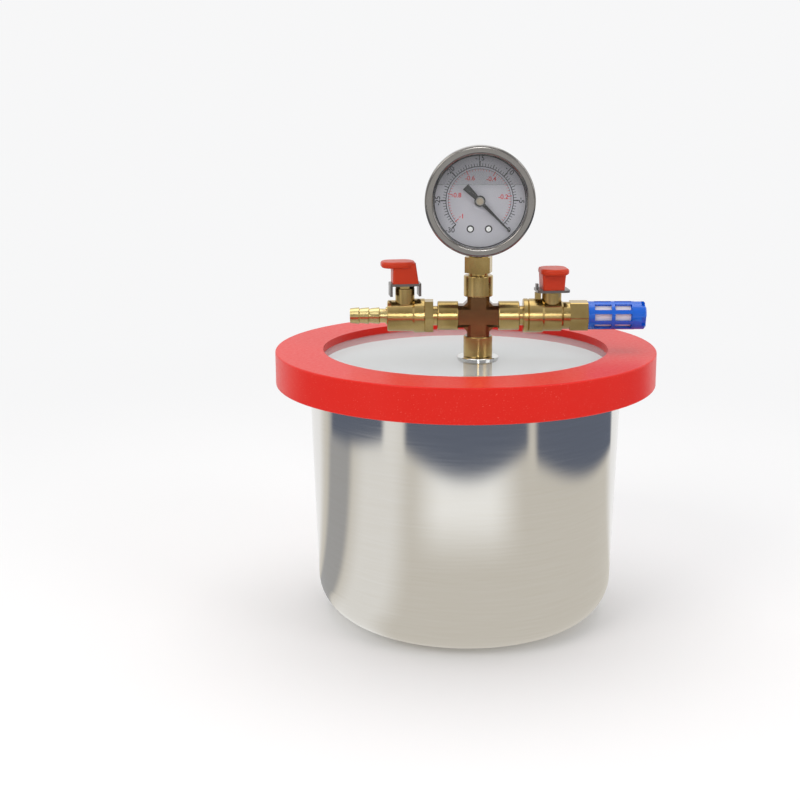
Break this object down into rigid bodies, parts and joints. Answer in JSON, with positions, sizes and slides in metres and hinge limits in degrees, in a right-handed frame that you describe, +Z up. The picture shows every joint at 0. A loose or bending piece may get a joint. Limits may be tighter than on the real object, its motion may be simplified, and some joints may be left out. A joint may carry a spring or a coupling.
{
  "type": "vacuum chamber",
  "caption": "Vacuum degassing chamber: steel pot, clear lid in a red silicone rim, brass manifold with dial gauge, ball valves, hose barb and vent filter.",
  "frame": {"origin": "centre of the pot's base on the surface it stands on", "axes": "+Z up; +X toward the vent filter; the dial faces -Y"},
  "size_m": [0.244, 0.244, 0.3058],
  "materials": {
    "pot_steel": "satin",
    "red_silicone": "satin",
    "clear_acrylic": "gloss",
    "brass": "satin",
    "pale_brass": "satin",
    "black_rubber": "matte",
    "polished_steel": "gloss",
    "plated_steel": "satin",
    "white_ptfe": "matte",
    "red_plastic": "gloss",
    "blue_plastic": "gloss",
    "filter_felt": "matte",
    "gauge_steel": "satin",
    "clear_glass": "gloss",
    "dial_face": "satin",
    "black_paint": "satin"
  },
  "bodies": {
    "chamber": {"pot": "pot_steel", "lid_rim": "red_silicone", "lid": "clear_acrylic", "stud": "brass", "stud_seal": "black_rubber", "stud_washer": "polished_steel", "cross": "brass", "left_inlet": "brass", "left_body": "brass", "left_seats": "white_ptfe", "left_packing": "white_ptfe", "left_gland": "brass", "left_barb": "pale_brass", "right_inlet": "brass", "right_body": "brass", "right_seats": "white_ptfe", "right_packing": "white_ptfe", "right_gland": "brass", "filter_body": "blue_plastic", "filter_element": "filter_felt", "filter_cap": "blue_plastic", "gauge_socket": "brass", "gauge_case": "gauge_steel", "gauge_bezel": "gauge_steel", "gauge_lens": "clear_glass", "lens_seal": "black_rubber", "gauge_dial": "dial_face", "dial_screws": "polished_steel", "movement_frame": "brass", "bourdon_tube": "pale_brass", "fill_plug": "black_rubber"},
    "left_lever": {"left_ball": "polished_steel", "left_stem": "brass", "left_plate": "plated_steel", "left_nut": "plated_steel", "left_cap": "red_plastic"},
    "right_lever": {"right_ball": "polished_steel", "right_stem": "brass", "right_plate": "plated_steel", "right_nut": "plated_steel", "right_cap": "red_plastic"},
    "pointer": {"gauge_pointer": "black_paint"},
    "sector": {"sector_gear": "brass"},
    "link": {"gauge_link": "plated_steel"}
  },
  "joints": [
    {"name": "left_valve_turn", "type": "hinge", "parent": "chamber", "child": "left_lever", "pos_m": [-0.0383, -0.012, 0.2172], "axis": [0, 0, 1], "range_deg": [-8, 82]},
    {"name": "right_valve_turn", "type": "hinge", "parent": "chamber", "child": "right_lever", "pos_m": [0.0543, -0.012, 0.2172], "axis": [0, 0, 1], "range_deg": [-6, 84]},
    {"name": "sector_turn", "type": "hinge", "parent": "chamber", "child": "sector", "pos_m": [0.008, -0.015, 0.25714], "axis": [0, -1, 0], "range_deg": [-54, 0], "stiffness_Nm_per_rad": 0.01},
    {"name": "pointer_turn", "type": "hinge", "parent": "chamber", "child": "pointer", "pos_m": [0.008, -0.02, 0.272], "axis": [0, -1, 0], "range_deg": [0, 270]},
    {"name": "link_swing", "type": "hinge", "parent": "chamber", "child": "link", "pos_m": [-0.01266, -0.015, 0.27677], "axis": [0, -1, 0], "range_deg": [-4.32, 0]}
  ],
  "couplings": [
    {"joint": "pointer_turn", "follows": "sector_turn", "ratio": -5},
    {"joint": "link_swing", "follows": "sector_turn", "ratio": 0.08}
  ]
}
